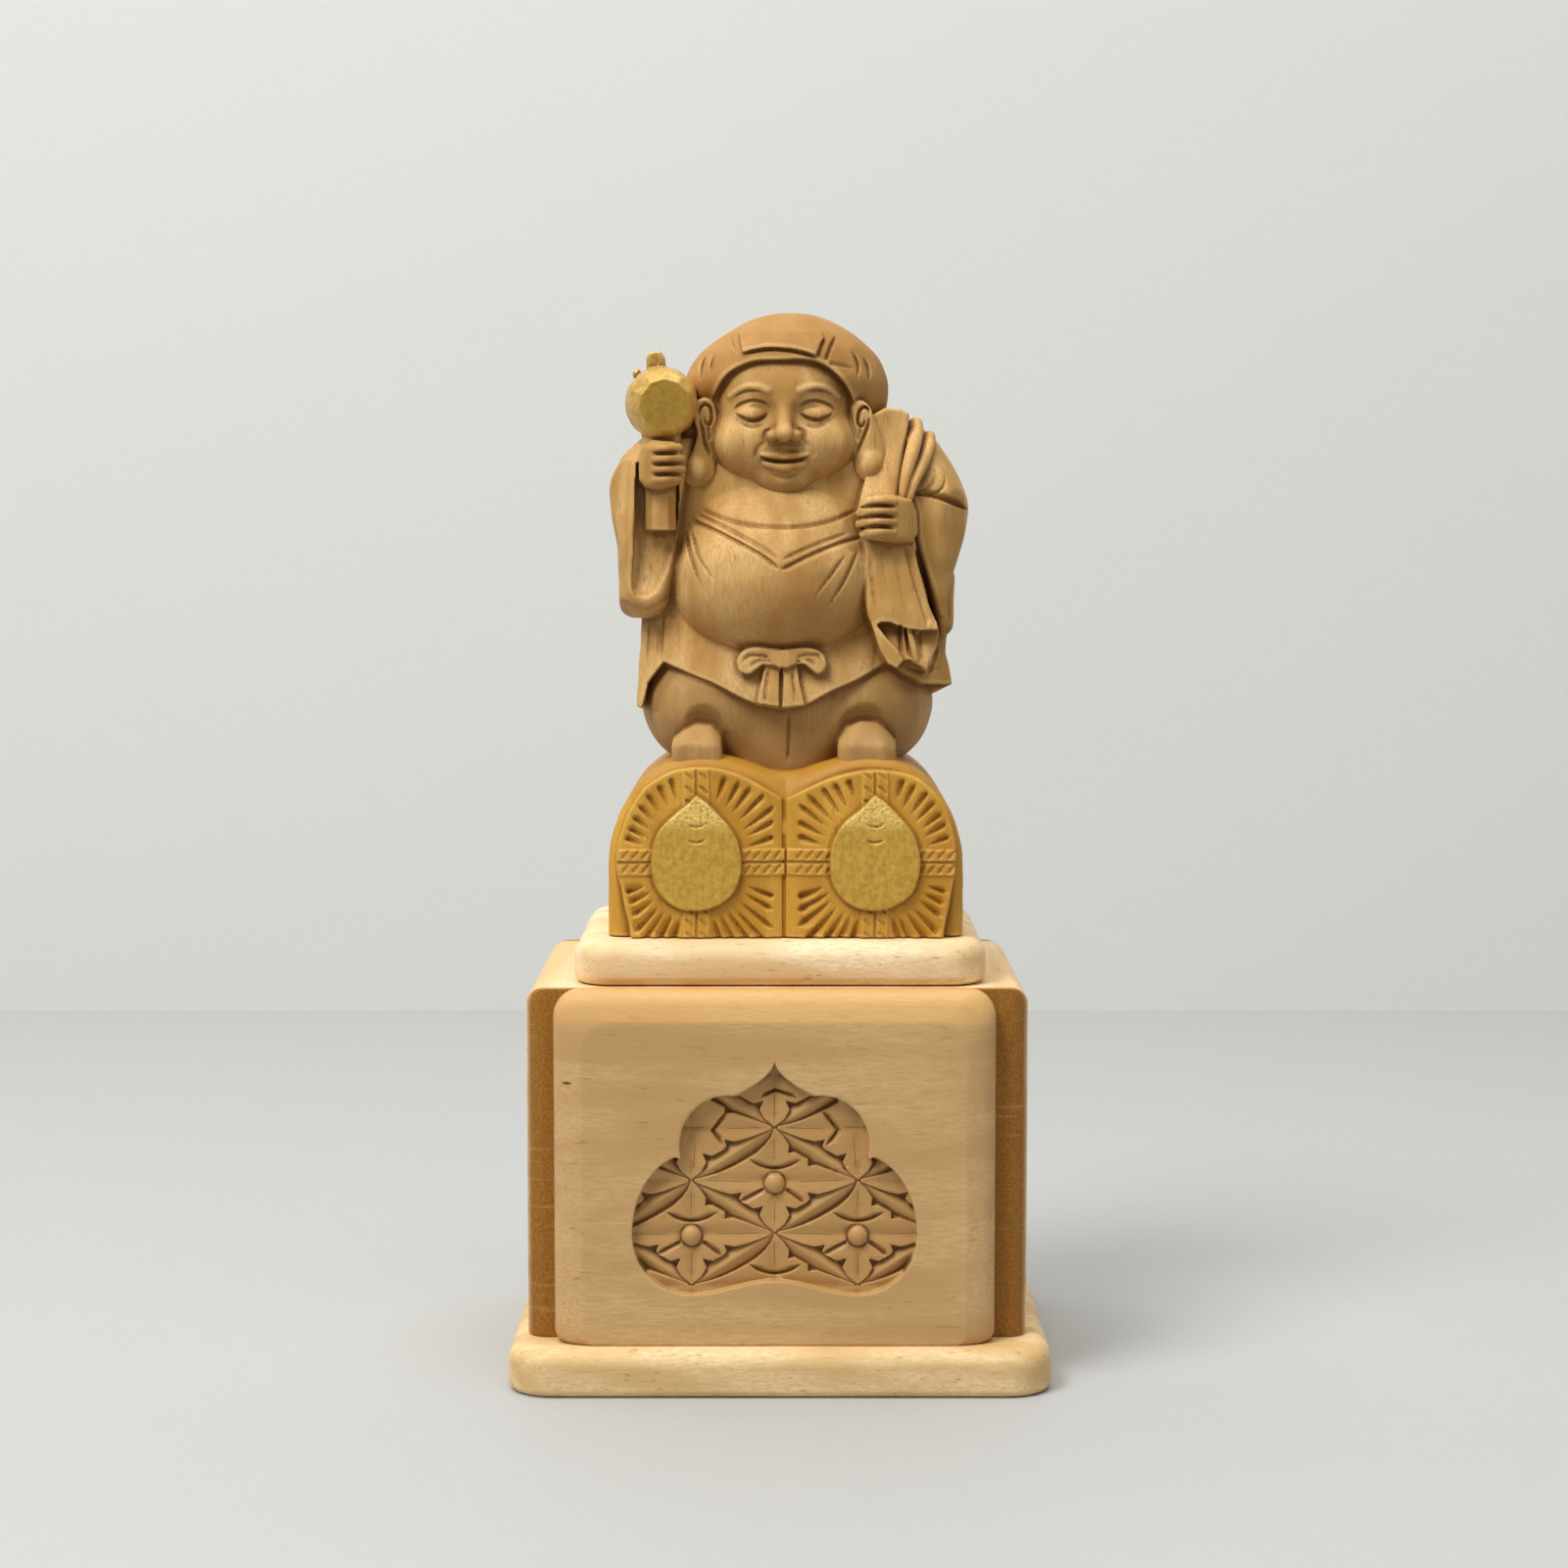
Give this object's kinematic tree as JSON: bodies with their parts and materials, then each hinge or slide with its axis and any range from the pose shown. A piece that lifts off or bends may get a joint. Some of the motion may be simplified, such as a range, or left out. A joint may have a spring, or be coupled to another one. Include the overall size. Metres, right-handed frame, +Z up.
{
  "type": "carved daikoku figure on stand",
  "caption": "Carved wooden luck deity with mallet and sack standing on rice bales, on a plinth, a block with a carved lattice panel and a rounded base plate.",
  "frame": {"origin": "middle of the base plate's underside, on the surface the piece stands on", "axes": "+Z up along the height, -Y towards the viewer in front of the figure, +X to the viewer's right"},
  "size_m": [0.0934, 0.078, 0.1853],
  "materials": {
    "figure_wood": "oiled fine-grained boxwood, warm tan, with the bales stained straw yellow and the jewels and mallet head painted dull gold",
    "plinth_wood": "pale cream hardwood, satin, with short dark ray flecks",
    "block_wood": "brown end grain in front, lighter long grain at the sides, satin",
    "panel_wood": "light tan wood with level grain, satin",
    "base_wood": "pale cream hardwood, satin, with short dark ray flecks"
  },
  "bodies": {
    "root": {"base_plate": "base_wood", "front_panel": "panel_wood", "stand_block": "block_wood", "top_plinth": "plinth_wood", "daikoku_figure": "figure_wood"}
  },
  "joints": []
}
